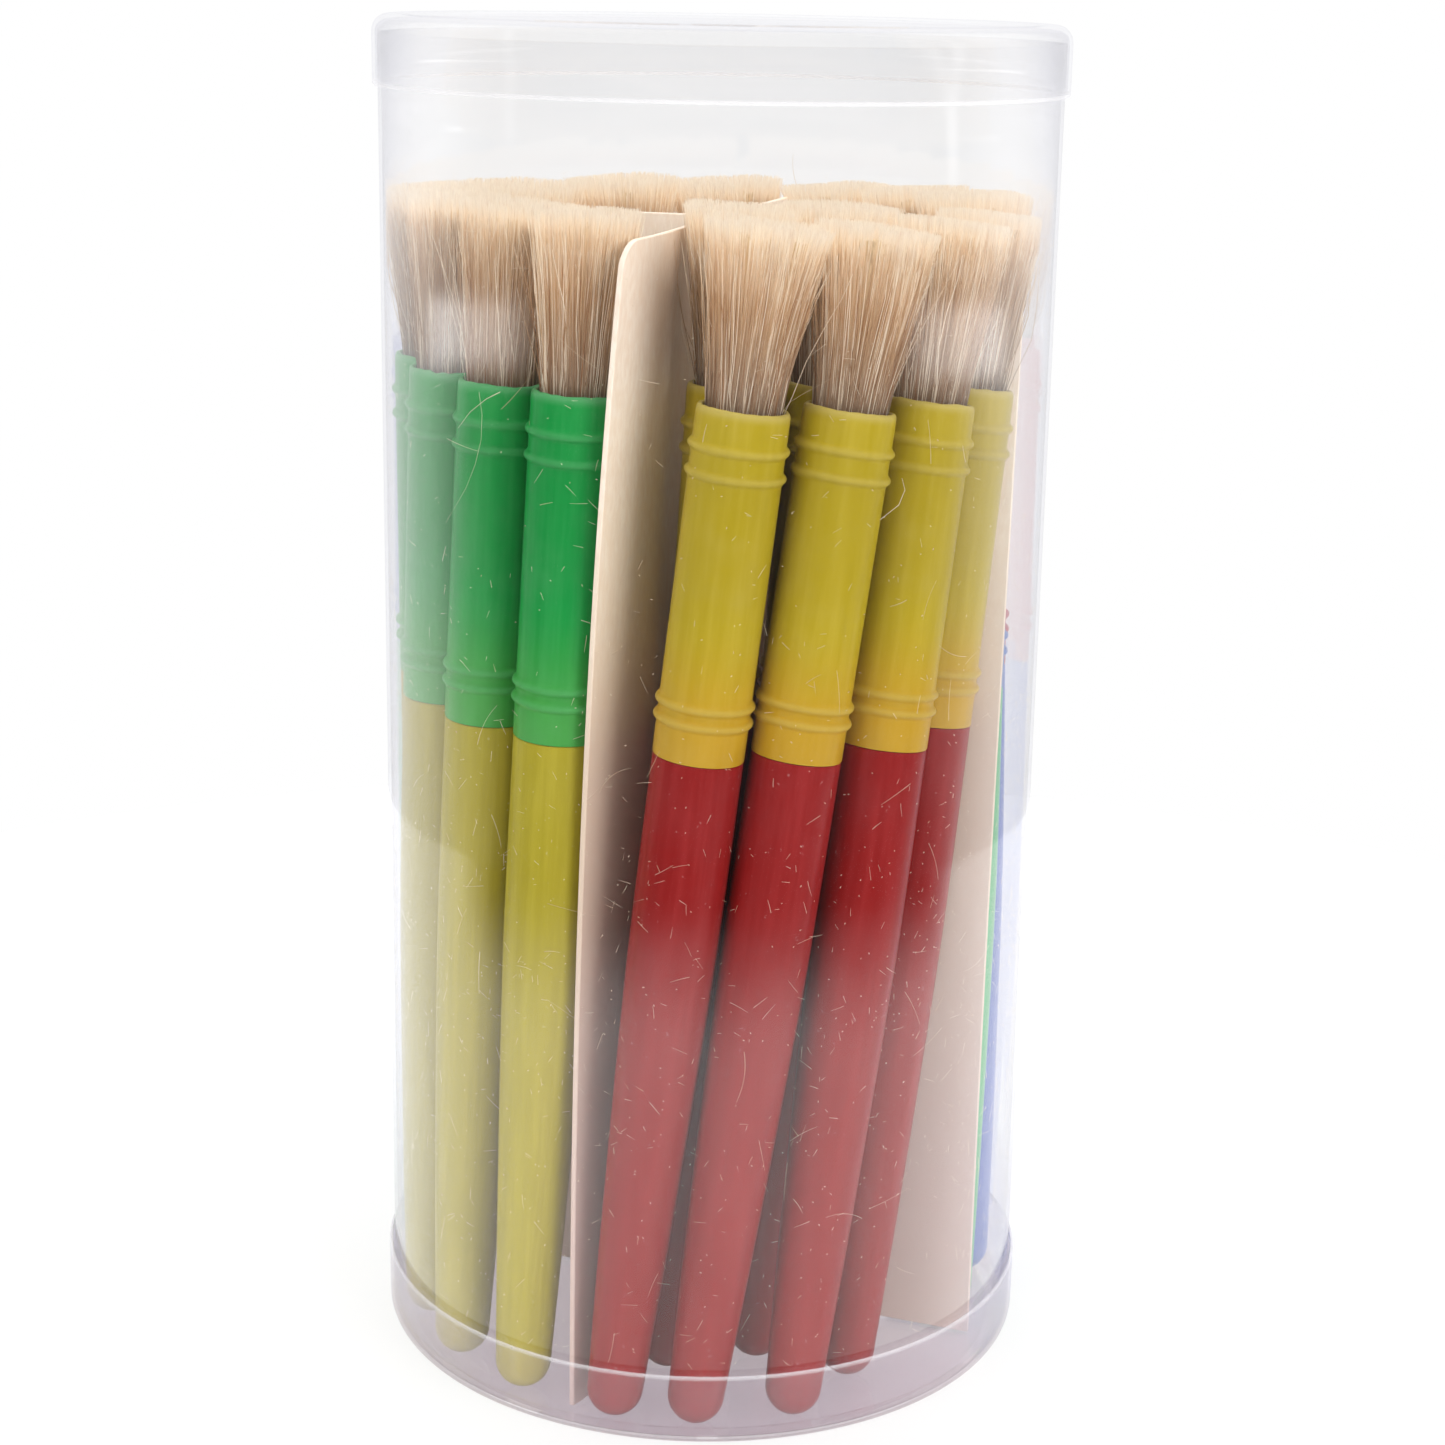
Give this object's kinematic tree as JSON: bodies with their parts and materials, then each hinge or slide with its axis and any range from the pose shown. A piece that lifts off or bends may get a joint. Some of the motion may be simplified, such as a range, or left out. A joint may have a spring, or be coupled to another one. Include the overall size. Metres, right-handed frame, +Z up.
{
  "type": "brush tub set",
  "caption": "Clear round plastic tub with a lift-off lid and card dividers, filled with chunky bristle brushes that have coloured plastic ferrules and tapered handles.",
  "frame": {"origin": "centre of the underside of the base cap", "axes": "+Z up the tub's axis, -Y towards the side with the yellow ferrules, +X to the right seen from there"},
  "size_m": [0.1016, 0.1016, 0.2032],
  "materials": {
    "clear_plastic": "thin clear sheet, lightly scuffed",
    "card": "smooth uncoated board",
    "bristle": "natural bristle, flat-cut tip",
    "ferrule_yellow": "moulded, slightly translucent",
    "ferrule_green": "moulded, slightly translucent",
    "ferrule_red": "moulded, slightly translucent",
    "ferrule_blue": "moulded, slightly translucent",
    "handle_red": "moulded, satin",
    "handle_yellow": "moulded, satin",
    "handle_blue": "moulded, satin",
    "handle_green": "moulded, satin"
  },
  "bodies": {
    "tub": {"tub_tube": "clear_plastic", "tub_base_cap": "clear_plastic", "divider_a": "card", "divider_b": "card"},
    "lid": {"tub_lid": "clear_plastic"},
    "brush_01": {"brush_01_handle": "handle_red", "brush_01_ferrule": "ferrule_yellow", "brush_01_bristles": "bristle"},
    "brush_02": {"brush_02_handle": "handle_red", "brush_02_ferrule": "ferrule_yellow", "brush_02_bristles": "bristle"},
    "brush_03": {"brush_03_handle": "handle_red", "brush_03_ferrule": "ferrule_yellow", "brush_03_bristles": "bristle"},
    "brush_04": {"brush_04_handle": "handle_red", "brush_04_ferrule": "ferrule_yellow", "brush_04_bristles": "bristle"},
    "brush_05": {"brush_05_handle": "handle_red", "brush_05_ferrule": "ferrule_yellow", "brush_05_bristles": "bristle"},
    "brush_06": {"brush_06_handle": "handle_red", "brush_06_ferrule": "ferrule_yellow", "brush_06_bristles": "bristle"},
    "brush_07": {"brush_07_handle": "handle_yellow", "brush_07_ferrule": "ferrule_green", "brush_07_bristles": "bristle"},
    "brush_08": {"brush_08_handle": "handle_yellow", "brush_08_ferrule": "ferrule_green", "brush_08_bristles": "bristle"},
    "brush_09": {"brush_09_handle": "handle_yellow", "brush_09_ferrule": "ferrule_green", "brush_09_bristles": "bristle"},
    "brush_10": {"brush_10_handle": "handle_yellow", "brush_10_ferrule": "ferrule_green", "brush_10_bristles": "bristle"},
    "brush_11": {"brush_11_handle": "handle_green", "brush_11_ferrule": "ferrule_blue", "brush_11_bristles": "bristle"},
    "brush_12": {"brush_12_handle": "handle_blue", "brush_12_ferrule": "ferrule_red", "brush_12_bristles": "bristle"},
    "brush_13": {"brush_13_handle": "handle_blue", "brush_13_ferrule": "ferrule_red", "brush_13_bristles": "bristle"},
    "brush_14": {"brush_14_handle": "handle_blue", "brush_14_ferrule": "ferrule_red", "brush_14_bristles": "bristle"},
    "brush_15": {"brush_15_handle": "handle_green", "brush_15_ferrule": "ferrule_blue", "brush_15_bristles": "bristle"},
    "brush_16": {"brush_16_handle": "handle_green", "brush_16_ferrule": "ferrule_blue", "brush_16_bristles": "bristle"},
    "brush_17": {"brush_17_handle": "handle_green", "brush_17_ferrule": "ferrule_blue", "brush_17_bristles": "bristle"},
    "brush_18": {"brush_18_handle": "handle_green", "brush_18_ferrule": "ferrule_blue", "brush_18_bristles": "bristle"}
  },
  "joints": [
    {"name": "lid_lift", "type": "slide", "parent": "tub", "child": "lid", "axis": [0, 0, 1], "range_m": [0, 0.06]},
    {"name": "brush_01_lift", "type": "slide", "parent": "tub", "child": "brush_01", "axis": [0.1101, 0.0091, 0.9939], "range_m": [0, 0.015]},
    {"name": "brush_02_lift", "type": "slide", "parent": "tub", "child": "brush_02", "axis": [0.1275, 0.0534, 0.9904], "range_m": [0, 0.015]},
    {"name": "brush_03_lift", "type": "slide", "parent": "tub", "child": "brush_03", "axis": [0.1067, 0.0921, 0.99], "range_m": [0, 0.015]},
    {"name": "brush_04_lift", "type": "slide", "parent": "tub", "child": "brush_04", "axis": [0.0938, 0.0942, 0.9911], "range_m": [0, 0.015]},
    {"name": "brush_05_lift", "type": "slide", "parent": "tub", "child": "brush_05", "axis": [0.0488, 0.0181, 0.9986], "range_m": [0, 0.015]},
    {"name": "brush_06_lift", "type": "slide", "parent": "tub", "child": "brush_06", "axis": [0.0492, 0.0163, 0.9987], "range_m": [0, 0.015]},
    {"name": "brush_07_lift", "type": "slide", "parent": "tub", "child": "brush_07", "axis": [0.052, 0.0046, 0.9986], "range_m": [0, 0.015]},
    {"name": "brush_08_lift", "type": "slide", "parent": "tub", "child": "brush_08", "axis": [0.0473, -0.0036, 0.9989], "range_m": [0, 0.015]},
    {"name": "brush_09_lift", "type": "slide", "parent": "tub", "child": "brush_09", "axis": [0.033, -0.0161, 0.9993], "range_m": [0, 0.015]},
    {"name": "brush_10_lift", "type": "slide", "parent": "tub", "child": "brush_10", "axis": [-0.0012, -0.0235, 0.9997], "range_m": [0, 0.015]},
    {"name": "brush_11_lift", "type": "slide", "parent": "tub", "child": "brush_11", "axis": [-0.0106, 0.0589, 0.9982], "range_m": [0, 0.015]},
    {"name": "brush_12_lift", "type": "slide", "parent": "tub", "child": "brush_12", "axis": [-0.0324, 0.0601, 0.9977], "range_m": [0, 0.015]},
    {"name": "brush_13_lift", "type": "slide", "parent": "tub", "child": "brush_13", "axis": [-0.0418, 0.0477, 0.998], "range_m": [0, 0.015]},
    {"name": "brush_14_lift", "type": "slide", "parent": "tub", "child": "brush_14", "axis": [-0.0511, 0.0286, 0.9983], "range_m": [0, 0.015]},
    {"name": "brush_15_lift", "type": "slide", "parent": "tub", "child": "brush_15", "axis": [-0.0482, -0.0088, 0.9988], "range_m": [0, 0.015]},
    {"name": "brush_16_lift", "type": "slide", "parent": "tub", "child": "brush_16", "axis": [-0.0408, -0.0177, 0.999], "range_m": [0, 0.015]},
    {"name": "brush_17_lift", "type": "slide", "parent": "tub", "child": "brush_17", "axis": [-0.0272, -0.0311, 0.9991], "range_m": [0, 0.015]},
    {"name": "brush_18_lift", "type": "slide", "parent": "tub", "child": "brush_18", "axis": [-0.0083, -0.0289, 0.9995], "range_m": [0, 0.015]}
  ]
}
